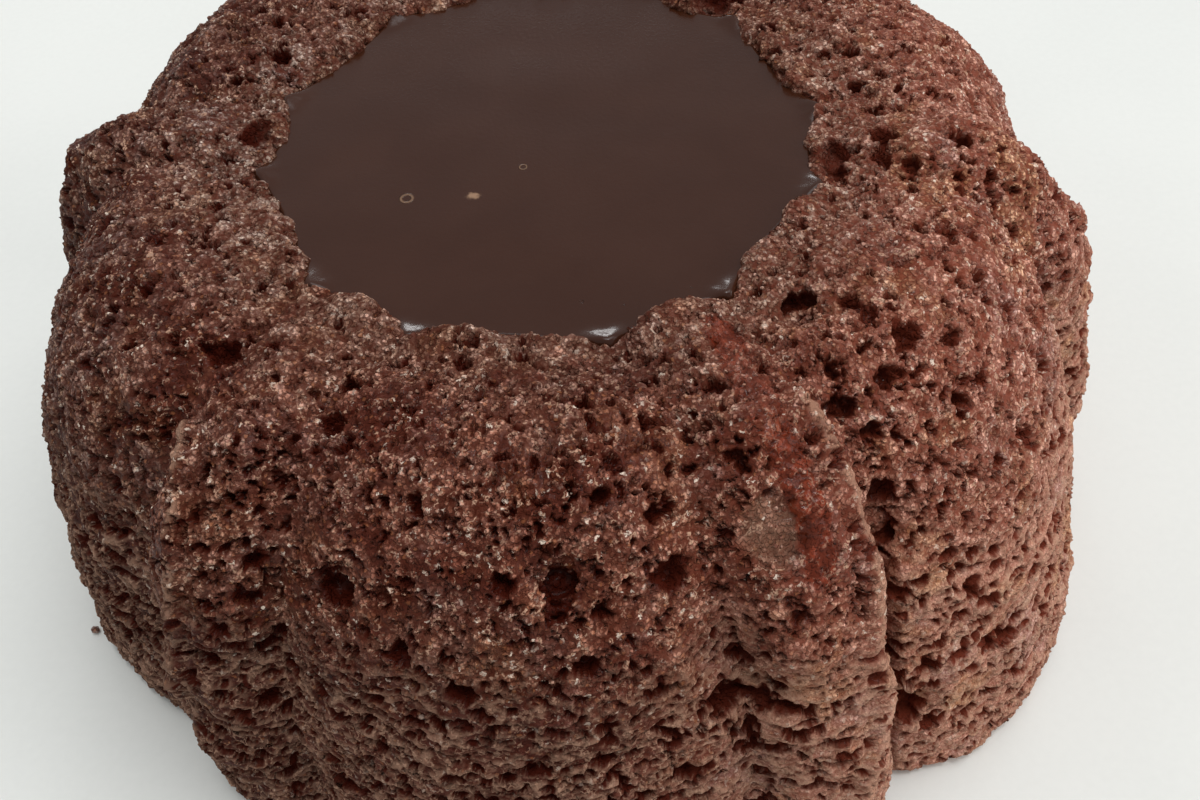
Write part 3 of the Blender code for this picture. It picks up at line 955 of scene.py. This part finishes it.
def crumb_material(settings):
    """Baked chocolate crumb: matte and tan on the crown, dark red below, with painted light and
    shade.
    """
    material = bpy.data.materials.get("baked_crumb")
    if material is not None:
        return material
    material, graph, shader, place = material_graph("baked_crumb")
    x, y, z = graph.parts(place)
    pore, edge, crown, crease_near, wall, relief_shade_and_tone, smooth = (
        graph.attribute(name)
        for name in ("pore", "edge", "crown", "crease", "wall", "relief_shade_and_tone", "smooth")
    )
    # Painted light on the right, the side the window light falls on: there the crumb is painted
    # brighter, less red and more orange, with lighter gaps and pores
    brighter = graph.ramp(x - y * 0.1, 4.0, 36.0)
    # Painted shade on the lower side away from the window light, at the front, the left and the
    # back: darker and redder there
    dimmer = graph.ramp(wall, 0.0, 0.7) * graph.ramp(x - y * 0.1, 26.0, 8.0)
    # Painted shade on the left, the side away from the window light: darker, most on the lower
    # side, and greyer
    left = graph.ramp(x, -8.0, -38.0)

    mottle = graph.noise(place, 5.0, 4.0, 0.6)
    warm, cool, _ = graph.parts(graph.noise(place, 6.0, 3.0, 0.6).output("Color"))
    patch = graph.noise(place, 2.1, 3.0, 0.6)
    jitter = graph.wander(place, 0.3, 2.0)

    crumbs = graph.cells(place + jitter * 0.35, 0.32)
    tone, kind, _ = graph.parts(crumbs.output("Color"))
    # Gaps between the grains: the crumb's own dark red and painted shade between the grains
    gap_shade = graph.ramp(crumbs, 0.30, 0.62)
    fine = graph.noise(place, 0.14, 2.0, 0.65)
    granular = graph.ramp(wall, 0.0, 1.0, 1.0, 0.6)

    red = graph.ramp(mottle, 0.58, 0.40) * (1.0 - brighter * 0.75)
    base = graph.blend(red, settings.crumb_colour, settings.crust_colour)
    tan = crown * graph.ramp(patch, 0.25, 0.55) * 0.8
    base = graph.blend(tan, base, settings.crown_colour)
    skin = wall * graph.ramp(patch, 0.35, 0.62) * 0.7
    base = graph.blend(skin, base, settings.skin_colour)
    warm = graph.ramp(warm, 0.52, 0.64) * graph.ramp(brighter, 0.0, 1.0, 0.3, 0.6)
    base = graph.blend(warm, base, settings.warm_colour)
    cool = graph.ramp(cool, 0.52, 0.64) * 0.45
    base = graph.blend(cool, base, settings.cool_colour)
    # Painted light: the right side is made up to two thirds brighter
    shade = 0.83 + (tone - 0.5) * granular * 0.8 + brighter * 0.67
    # Painted shade on the left lower side; on the crown the left is painted lighter and the right
    # darker
    shade = shade * (1.0 - left * wall * 0.42) * (1.0 + (left - brighter) * crown * 0.32)
    shade = shade * graph.ramp(fine, 0.3, 0.7, 0.72, 1.28)
    # Painted shade and light by the relief's height: low crumb darker, raised crumb lighter
    shade = shade * graph.ramp(relief_shade_and_tone, 0.0, 1.0, 0.56, 1.38)
    # Painted shade of the lower side and painted shade on the left, set for each colour channel
    base = base * graph.join(
        shade * (1.0 - dimmer * 0.68) * (1.0 - left * 0.26),
        shade**1.3 * (1.0 - dimmer * 0.76) * (1.0 - left * 0.04),
        shade**1.45 * (1.0 - dimmer * 0.75) * (1.0 + left * 0.08),
    )
    # The gaps are painted lighter on the right, where the painted light falls, and on the crown
    # of the left
    gap_red_and_shade_colour = graph.join(*settings.gap_red_and_shade_colour) * (brighter * 0.6 + left * crown * 0.2 + 0.3)
    base = graph.blend(gap_shade * granular * 0.75, base, gap_red_and_shade_colour)
    rusty = graph.ramp(kind, 0.88, 0.95) * (1.0 - gap_shade)
    base = graph.blend(rusty * 0.3, base, settings.rust_colour)
    # Paler edges, partly painted highlight on crests, lips and rims
    base = graph.blend(edge * 0.62 * (1.0 - dimmer * 0.25), base, settings.pale_edge_and_highlight_colour)
    # Painted shade in the pores and hollows, lighter on the painted-light right side
    inside = graph.blend(brighter * 0.75, settings.pore_red_and_shade_colour, gap_red_and_shade_colour)
    base = graph.blend(pore, base, inside)
    worn = smooth * graph.ramp(fine, 0.35, 0.6, 0.3, 0.68)
    base = graph.blend(worn, base, settings.dish_colour)
    spot = from_mark(graph, place, ORANGE_SPOT_MM)
    spot = graph.ramp(spot + (patch - 0.5) * 1.6, 1.1, 0.4) * (1.0 - pore)
    base = graph.blend(spot * 0.7, base, settings.rust_colour)
    smeared = graph.ramp(patch, 0.64, 0.42, 0.3, 0.9)
    reddened = graph.ramp(crease_near, 0.2, 0.6)
    reddened = reddened * graph.larger(smeared * 0.8, graph.ramp(z, 37.2, 35.4) * 0.95)
    # The crease's red is painted darker where the relief sinks and lighter where it stands up
    crease_relief_shade = graph.ramp(relief_shade_and_tone, 0.1, 0.9, 0.65, 1.35)
    crease_colour = graph.join(*settings.crease_colour) * crease_relief_shade
    base = graph.blend(reddened, base, crease_colour)

    # Painted glints: pale specks on the raised crumb of the shoulders that stand in for
    # highlights
    cell = graph.cells(place + jitter * 0.8, 0.62)
    chance = graph.parts(cell.output("Color"))[0]
    painted_glint_area = graph.ramp(patch, 0.36, 0.54) * (1.0 - crown * 0.6) * graph.ramp(relief_shade_and_tone, 0.2, 0.45)
    painted_glint = graph.ramp(cell, 0.34, 0.20) * graph.ramp(chance, 0.54, 0.24) * (1.0 - pore)
    painted_glint = painted_glint * painted_glint_area * (1.0 - wall * 0.7) * (1.0 - crease_near * 0.8)
    base = graph.blend(painted_glint * 0.85, base, settings.painted_glint_colour)
    # Curled streaks in the pale edge colour: painted sheen on the shoulders and pale lines on the
    # lower side
    curl = graph.maths("ABSOLUTE", graph.noise(place + jitter * 0.3, 0.8, 2.0, 0.6) - 0.5)
    broken = graph.ramp(graph.noise(place + (4.0, 2.0, 7.0), 0.5, 2.0), 0.46, 0.56)
    pale_streak_and_painted_sheen = graph.ramp(curl, 0.045, 0.012) * broken * (1.0 - pore)
    pale_streak_and_painted_sheen = pale_streak_and_painted_sheen * graph.larger(painted_glint_area * (1.0 - wall) * 0.95, wall * 0.5)
    base = graph.blend(pale_streak_and_painted_sheen * (1.0 - crease_near * 0.6), base, settings.pale_edge_and_highlight_colour)

    glaze = (1.0 - crown * 0.8) * graph.ramp(patch, 0.62, 0.46)
    glaze = graph.larger(glaze * (1.0 - wall * 0.8), crease_near)
    roughness = 0.72 - glaze * 0.2 + (fine - 0.5) * 0.2
    bump_height = fine * 0.35 + (1.0 - gap_shade * granular) * 0.65
    bump = graph.bump(bump_height, GRAIN_BUMP)
    feed(graph, shader, Base_Color=base, Roughness=roughness, Normal=bump)
    feed(graph, shader, Coat_Weight=glaze * 0.1 + crease_near * 0.1, Coat_Roughness=0.12)
    feed(graph, shader, Specular_IOR_Level=0.05, IOR=1.45)
    return material


def ganache_material(settings):
    """Set ganache: dark, smooth and satin."""
    material, graph, shader, place = material_graph("ganache_satin")
    cloud = graph.noise(place, 7.0, 3.0, 0.55)
    specks = graph.noise(place, 0.35, 2.0, 0.6)
    lighter = graph.ramp(cloud, 0.3, 0.7)
    base = graph.blend(lighter, settings.ganache_colour, settings.ganache_light)
    spot = graph.distance(place, SPECK_MM, SPECK_HALF_SIZES_MM)
    spot = graph.ramp(spot + (specks - 0.5) * 1.4, 1.1, 0.3)
    base = graph.blend(spot * 0.8, base, settings.spot_colour)
    ring = 0.0
    for x, y, half_size in BUBBLES_MM:
        half_sizes = (half_size, half_size, BUBBLE_TALLNESS_MM)
        away = graph.distance(place, (x, y, GANACHE_TOP_MM), half_sizes) - 1.0
        ring = graph.larger(ring, graph.ramp(graph.maths("ABSOLUTE", away), 0.4, 0.1))
    froth = pores(graph, place, 0.9, 0.3, 0.10, 0.20)
    froth = graph.ramp(froth, 0.0, 0.3) * near_path(graph, place, FROTH_MM, 1.6)
    base = graph.blend(ring * 0.4, base, settings.spot_colour)
    roughness = 0.21 + (cloud - 0.5) * 0.12 + (specks - 0.5) * 0.1
    bump_height = specks * 0.12 + ring - froth * 0.6
    bump = graph.bump(bump_height, BUBBLE_BUMP)
    feed(graph, shader, Base_Color=base, Roughness=roughness, Normal=bump)
    feed(graph, shader, Specular_IOR_Level=0.33, IOR=1.45)
    return material


def paper_material(settings):
    """The pale floor's matte paper."""
    material, graph, shader, place = material_graph("pale_paper")
    fibres = graph.noise(place, 0.8, 3.0, 0.6)
    clouds = graph.noise(place, 30.0, 2.0)
    tint = graph.ramp(fibres * 0.4 + clouds * 0.6, 0.3, 0.7)
    darker = [value * 0.96 for value in settings.floor_colour]
    base = graph.blend(tint, darker, settings.floor_colour)
    feed(graph, shader, Base_Color=base, Roughness=0.9)
    return material


def colour(name, description, default):
    """A setting that holds a colour."""
    return bpy.props.FloatVectorProperty(
        name=name, description=description, default=default, subtype="COLOR"
    )


def length(name, description, default):
    """A setting that holds a length."""
    return bpy.props.FloatProperty(
        name=name, description=description, default=default, unit="LENGTH"
    )


class CrustSettings(bpy.types.PropertyGroup):
    """Sizes and colours of the baked crust."""

    lump_height: length("Lump height", "How far the broad lumps of the crust stand out", 0.0006)
    crag_height: length("Crag height", "How far the small crags of the crust stand out", 0.00024)
    grain_height: length("Grain height", "How far the single grains stand out", 0.00032)
    layer_height: length("Layer height", "How far the layers of the side stand out", 0.00034)
    lip_rise: length("Lip rise", "How far the crumb stands up around the well", 0.0006)
    pore_depth: bpy.props.FloatProperty(
        name="Pore depth",
        description="Depth of the pores, as a factor",
        default=1.0,
    )
    # The painted light of the right side thins out the red mottle, so this colour shows most
    # there
    crumb_colour: colour("Crumb", "The crumb where it is dry", (0.385, 0.160, 0.106))
    # The red crust mottles at random; the painted shade of the lower side deepens it further
    crust_colour: colour("Crust", "The crust where it is moist and red", (0.170, 0.043, 0.024))
    crown_colour: colour("Crown", "The dry tan crumb next to the well", (0.385, 0.240, 0.178))
    skin_colour: colour("Skin", "The smoother skin of the lower side", (0.330, 0.148, 0.100))
    # Partly the pale edges of the crumb and partly painted highlight on crests and lips
    pale_edge_and_highlight_colour: colour("Layer edge", "The thin pale edges of the layers", (0.52, 0.31, 0.21))
    # The crumb's deep red and painted shade inside the pores
    pore_red_and_shade_colour: colour("Pore", "The inside of the pores", (0.055, 0.007, 0.003))
    warm_colour: colour("Warm", "Broad patches that are more orange", (0.400, 0.180, 0.085))
    cool_colour: colour("Cool", "Broad patches that are greyer", (0.260, 0.140, 0.115))
    dish_colour: colour("Dish", "The smooth tan hollow beside the crease", (0.205, 0.112, 0.072))
    # Partly the crumb's dark red and partly painted shade between the grains
    gap_red_and_shade_colour: colour("Gap", "The dark red gaps between the grains", (0.200, 0.038, 0.019))
    rust_colour: colour("Rust", "Single redder grains of the crumb", (0.40, 0.14, 0.05))
    crease_colour: colour("Crease", "The red crease of the right ridge", (0.165, 0.026, 0.010))
    # Painted glints, which stand in for highlights on the crumb
    painted_glint_colour: colour("Fleck", "The pale flecks that catch the light", (0.92, 0.76, 0.62))


class GanacheSettings(bpy.types.PropertyGroup):
    """Sizes and colours of the ganache."""

    overlap: length("Overlap", "How far the ganache reaches into the crumb of the lip", 0.0008)
    dive: length("Dive", "How far the hidden edge of the ganache sinks into the crumb", 0.0018)
    rim_rise: length("Rim rise", "How far the ganache climbs at its edge", 0.00045)
    rim_width: length("Rim width", "How far from the edge the ganache starts to climb", 0.0011)
    ganache_colour: colour("Ganache", "Main colour of the ganache", (0.0360, 0.0102, 0.0042))
    ganache_light: colour("Ganache, lighter", "Its lighter parts", (0.0405, 0.0120, 0.0052))
    spot_colour: colour("Spot", "A crumb that shows through the ganache", (0.34, 0.20, 0.12))


class CrumbSettings(bpy.types.PropertyGroup):
    """Loose crumbs on the crust."""

    count: bpy.props.IntProperty(
        name="Count",
        description="How many loose crumbs lie on the crown and shoulders",
        default=1600,
    )
    half_size: length("Half size", "Half the length of a middling crumb", 0.00017)
    seed: bpy.props.IntProperty(
        name="Seed",
        description="Changes where the crumbs fall",
        default=7,
    )


class StageSettings(bpy.types.PropertyGroup):
    """Floor and light."""

    floor_colour: colour("Floor", "Colour of the pale floor", (0.77, 0.775, 0.74))
    sky_light: bpy.props.FloatProperty(
        name="Sky light",
        description="Strength of the even light from all around",
        default=0.64,
    )
    window_power: bpy.props.FloatProperty(
        name="Window light",
        description="Strength of the broad soft light from above and from the right",
        default=1.45,
    )


class CAKE_OT_crust(bpy.types.Operator):
    """Build the crust: six lobes and six ridges, from the foot to inside the well"""

    bl_idname = "cake.crust"
    bl_label = "Crust"

    def execute(self, context):
        settings = context.scene.cake_crust
        ring, _ = crust_ring()
        group = crust_relief_group(settings)
        material = crumb_material(settings)
        for sector in range(2 * PETALS):
            kind = "ridge" if sector % 2 else "lobe"
            name = f"crust_{kind}_{sector // 2 + 1}"
            bm = bmesh.new()
            bm.from_mesh(ring)
            layer = bm.faces.layers.int["sector"]
            others = [face for face in bm.faces if face[layer] != sector]
            bmesh.ops.delete(bm, geom=others, context="FACES")
            mesh = named_mesh(bm, name)
            turns = point_numbers(mesh.attributes["turn"].data, "value", len(mesh.vertices))
            lengths = point_numbers(mesh.attributes["from_lip"].data, "value", len(mesh.vertices))
            keep_map(mesh, (turns - sector * PETAL_ANGLE / 2 + 180.0) % 360.0, -lengths)
            piece = placed(name, mesh, material, "cake")
            fine = piece.modifiers.new("finer", "SUBSURF")
            fine.subdivision_type = "SIMPLE"
            fine.levels = FINE_LEVELS
            fine.render_levels = FINE_LEVELS
            crumble = piece.modifiers.new("relief", "NODES")
            crumble.node_group = group
            finished(piece)
        return {"FINISHED"}


class CAKE_OT_inside(bpy.types.Operator):
    """Build the underside and the well's lining, which close the crust"""

    bl_idname = "cake.inside"
    bl_label = "Underside and well"

    def execute(self, context):
        settings = context.scene.cake_crust
        material = crumb_material(settings)
        _, shift = crust_ring()
        floor = HEIGHT - WELL_DEPTH
        lining = [(WELL_REACH, HEIGHT - LIP_INSIDE), (WELL_REACH, (HEIGHT + floor) / 2)]
        lining += [(WELL_REACH, floor), (WELL_REACH / 2, floor), (0.0, floor)]
        under = [(radius, 0.0) for radius in np.linspace(LOBE_REACH, 0.0, UNDERSIDE_ROWS + 1)]
        for name, outline in (("underside", under), ("well_lining", lining)):
            bm = bmesh.new()
            spun(bm, [at_angle(0.0, *spot) for spot in outline], PETALS * PETAL_COLUMNS)
            bmesh.ops.remove_doubles(bm, verts=bm.verts[:], dist=TOLERANCE)
            from_edge = [LOBE_REACH - math.hypot(*vertex.co.xy) for vertex in bm.verts]
            for vertex in bm.verts:
                formed = flat_point if vertex.co.z < TOLERANCE else fluted_point
                vertex.co = baked_point(formed(vertex.co)) - shift
            bmesh.ops.recalc_face_normals(bm, faces=bm.faces[:])
            turn_over(bm, down=name == "underside")
            mesh = named_mesh(bm, name)
            piece = placed(name, mesh, material, "cake")
            if name == "underside":
                keep_numbers(mesh, "from_lip", np.array(from_edge) * TO_MM)
                keep_map(mesh, *point_numbers(mesh.vertices, "co", len(mesh.vertices), 3).T[:2])
                crumble = piece.modifiers.new("relief", "NODES")
                crumble.node_group = underside_relief_group()
                finished(piece)
            piece.data.shade_smooth()
        return {"FINISHED"}


def flat_point(blank):
    """Where a point of the underside's round blank goes in the fluted foot."""
    angle = angle_of(blank)
    radius = math.hypot(blank.x, blank.y)
    return at_angle(angle, radius / LOBE_REACH * side_radius(angle, 0.0), 0.0)


def turn_over(bm, down):
    """Make a flat or cupped face set look down, or else up."""
    total = sum(face.normal.z * face.calc_area() for face in bm.faces)
    if (total < 0) != down:
        bmesh.ops.reverse_faces(bm, faces=bm.faces[:])


class CAKE_OT_ganache(bpy.types.Operator):
    """Build the ganache in the well, with its climbing rim and its bubbles"""

    bl_idname = "cake.ganache"
    bl_label = "Ganache"

    def execute(self, context):
        settings = context.scene.cake_ganache
        _, shift = crust_ring()
        top = HEIGHT - GANACHE_DROP
        bottom = HEIGHT - WELL_DEPTH + GANACHE_GAP
        steps = [step / GANACHE_ROWS for step in range(GANACHE_ROWS + 1)]
        outline = [(WELL_REACH * (1 - (1 - step) ** GANACHE_CROWDING), top) for step in steps]
        outline += [(WELL_REACH, height) for height in (top - GANACHE_EDGE_DEPTH, bottom)]
        outline += [(WELL_REACH / 2, bottom), (0.0, bottom)]
        bm = bmesh.new()
        spun(bm, [at_angle(0.0, *spot) for spot in outline], GANACHE_COLUMNS)
        bmesh.ops.remove_doubles(bm, verts=bm.verts[:], dist=TOLERANCE)
        for vertex in bm.verts:
            angle = angle_of(vertex.co)
            radius = math.hypot(vertex.co.x, vertex.co.y)
            height = vertex.co.z
            reach = well_radius(angle, (HEIGHT - height) / WELL_DEPTH) - GANACHE_GAP
            on_top = height > top - TOLERANCE
            if on_top:
                reach += settings.overlap + GANACHE_GAP
            across = radius / WELL_REACH * reach
            if on_top:
                from_edge = reach - settings.overlap - across
                across_lobe, _ = across_petal(angle, GROOVE_ANGLE_AT_WELL)
                at_corner = smooth_step((across_lobe - CORNER_START) / (1 - CORNER_START))
                width = settings.rim_width * (1 + at_corner)
                share = CLIMB_ELSEWHERE + (1 - CLIMB_ELSEWHERE) * at_corner
                climb = smooth_step(1 - from_edge / width) * share
                waves = GANACHE_WAVE_HEIGHT * noise.noise(vertex.co / GANACHE_WAVE_SIZE)
                height += settings.rim_rise * climb**2 + waves
                height -= settings.dive * smooth_step(-from_edge / settings.overlap)
            vertex.co = baked_point(at_angle(angle, across, height)) - shift
        bmesh.ops.recalc_face_normals(bm, faces=bm.faces[:])
        mesh = named_mesh(bm, "ganache_pool")
        mesh.shade_smooth()
        placed("ganache_pool", mesh, ganache_material(settings), "ganache")
        return {"FINISHED"}


class CAKE_OT_crumbs(bpy.types.Operator):
    """Scatter loose crumbs over the crown and shoulders, and lay one beside the foot"""

    bl_idname = "cake.crumbs"
    bl_label = "Loose crumbs"

    def execute(self, context):
        settings = context.scene.cake_crumbs
        chance = random.Random(settings.seed)
        x, y, half_size = FALLEN_CRUMB_MM
        bm = bmesh.new()
        add_crumb(bm, Vector((x, y, half_size * 0.8)) / TO_MM, half_size / TO_MM, chance)
        for place in crumb_places(settings.count, chance):
            add_crumb(bm, place, settings.half_size * chance.uniform(0.7, 1.4), chance)
        mesh = named_mesh(bm, "loose_crumbs")
        for name, value in (("crown", 0.6), ("relief_shade_and_tone", 0.85)):
            keep_numbers(mesh, name, [value] * len(mesh.vertices))
        material = crumb_material(context.scene.cake_crust)
        placed("loose_crumbs", mesh, material, None)
        return {"FINISHED"}


def add_crumb(bm, place, half_size, chance):
    """Add one uneven grain to a bmesh."""
    turn = Euler([chance.uniform(0.0, math.tau) for _ in range(3)])
    sizes = [half_size * chance.uniform(0.65, 1.0) for _ in range(3)]
    shape = Matrix.LocRotScale(place, turn, sizes)
    bmesh.ops.create_icosphere(bm, subdivisions=1, radius=1.0, matrix=shape)


def crumb_places(wanted, chance):
    """Points of the finished crust's crown and shoulders, in loose clusters."""
    found = []
    for piece in bpy.context.scene.objects:
        if not piece.name.startswith("crust_"):
            continue
        mesh = piece.data
        count = len(mesh.vertices)
        places = point_numbers(mesh.vertices, "co", count, 3)
        normals = point_numbers(mesh.vertex_normals, "vector", count, 3)
        pore = point_numbers(mesh.attributes["pore"].data, "value", count)
        upwards = normals[:, 2] > CRUMBS_LIE_ABOVE
        high = places[:, 2] > LEDGE_HEIGHT
        found.append(places[upwards & high & (pore < CRUMBS_LIE_OUTSIDE)])
    found = np.concatenate(found)
    found = found[np.lexsort(found.T)]
    chosen = []
    while len(chosen) < wanted:
        place = Vector([float(value) for value in found[chance.randrange(len(found))]])
        if noise.noise(place / CRUMB_CLUSTER_SIZE) > CRUMB_CLUSTER_EDGE:
            chosen.append(place)
    return chosen


class CAKE_OT_stage(bpy.types.Operator):
    """Set the pale floor, the soft light and the camera"""

    bl_idname = "cake.stage"
    bl_label = "Stage"

    def execute(self, context):
        settings = context.scene.cake_stage
        scene = context.scene
        bm = bmesh.new()
        bmesh.ops.create_grid(bm, x_segments=1, y_segments=1, size=FLOOR_HALF_SIZE)
        mesh = named_mesh(bm, "floor")
        mesh.materials.append(paper_material(settings))
        floor = bpy.data.objects.new("floor", mesh)
        scene.collection.objects.link(floor)

        world = bpy.data.worlds.new("soft_sky")
        world.use_nodes = True
        graph = Graph(world.node_tree)
        _, back, _ = graph.parts(graph.node("ShaderNodeTexCoord", {}, {}, "Generated"))
        strength = graph.ramp(back, -0.9, 0.5, 0.7, 0.9) * settings.sky_light
        sky = world.node_tree.nodes["Background"]
        sky.inputs["Color"].default_value = (*SKY_COLOUR, 1.0)
        graph.tree.links.new(strength.socket, sky.inputs["Strength"])
        scene.world = world

        for name, place, spread, share, light_colour in LIGHTS:
            add_light(name, place, spread, settings.window_power * share, light_colour)
        scene.camera = fitted_camera()
        scene.view_settings.view_transform = "Standard"
        return {"FINISHED"}


def add_light(name, place, spread, strength, light_colour):
    """A broad light, far off in the direction of a place, that spreads over an angle."""
    light = bpy.data.lights.new(name, "SUN")
    light.angle = math.radians(spread)
    light.energy = strength
    light.color = light_colour
    lamp = bpy.data.objects.new(name, light)
    turn = (-Vector(place)).to_track_quat("-Z", "Y").to_matrix().to_4x4()
    lamp.matrix_world = Matrix.Translation(place) @ turn
    bpy.context.scene.collection.objects.link(lamp)


def fitted_camera():
    """The camera at the viewing angle of the photograph."""
    yaw = Matrix.Rotation(math.radians(CAMERA_YAW), 3, "Z")
    pitch = math.radians(CAMERA_PITCH)
    roll = math.radians(CAMERA_ROLL)
    level_right = yaw @ Vector((1.0, 0.0, 0.0))
    level_up = yaw @ Vector((0.0, math.sin(pitch), math.cos(pitch)))
    forward = yaw @ Vector((0.0, math.cos(pitch), -math.sin(pitch)))
    right = level_right * math.cos(roll) + level_up * math.sin(roll)
    up = level_up * math.cos(roll) - level_right * math.sin(roll)
    data = bpy.data.cameras.new("camera")
    data.sensor_width = 36.0
    data.lens = CAMERA_LENS_MM
    data.clip_start = 0.005
    camera = bpy.data.objects.new("camera", data)
    turn = Matrix((right, up, -forward)).transposed().to_4x4()
    camera.matrix_world = Matrix.Translation(EYE) @ turn
    bpy.context.scene.collection.objects.link(camera)
    return camera


class CAKE_PT_panel(bpy.types.Panel):
    """The cake's operators"""

    bl_idname = "CAKE_PT_panel"
    bl_label = "Lava cake"
    bl_space_type = "VIEW_3D"
    bl_region_type = "UI"
    bl_category = "Lava cake"

    def draw(self, context):
        for operator in OPERATORS:
            self.layout.operator(operator.bl_idname)


OPERATORS = (
    CAKE_OT_crust,
    CAKE_OT_inside,
    CAKE_OT_ganache,
    CAKE_OT_crumbs,
    CAKE_OT_stage,
)
SETTINGS = {
    "cake_crust": CrustSettings,
    "cake_ganache": GanacheSettings,
    "cake_crumbs": CrumbSettings,
    "cake_stage": StageSettings,
}


def register():
    for kind in (*SETTINGS.values(), *OPERATORS, CAKE_PT_panel):
        bpy.utils.register_class(kind)
    for name, kind in SETTINGS.items():
        setattr(bpy.types.Scene, name, bpy.props.PointerProperty(type=kind))


def unregister():
    for name in SETTINGS:
        delattr(bpy.types.Scene, name)
    for kind in (CAKE_PT_panel, *OPERATORS, *SETTINGS.values()):
        bpy.utils.unregister_class(kind)


def main():
    register()
    bpy.ops.cake.crust()
    bpy.ops.cake.inside()
    bpy.ops.cake.ganache()
    bpy.ops.cake.crumbs()
    bpy.ops.cake.stage()


if __name__ == "__main__":
    main()
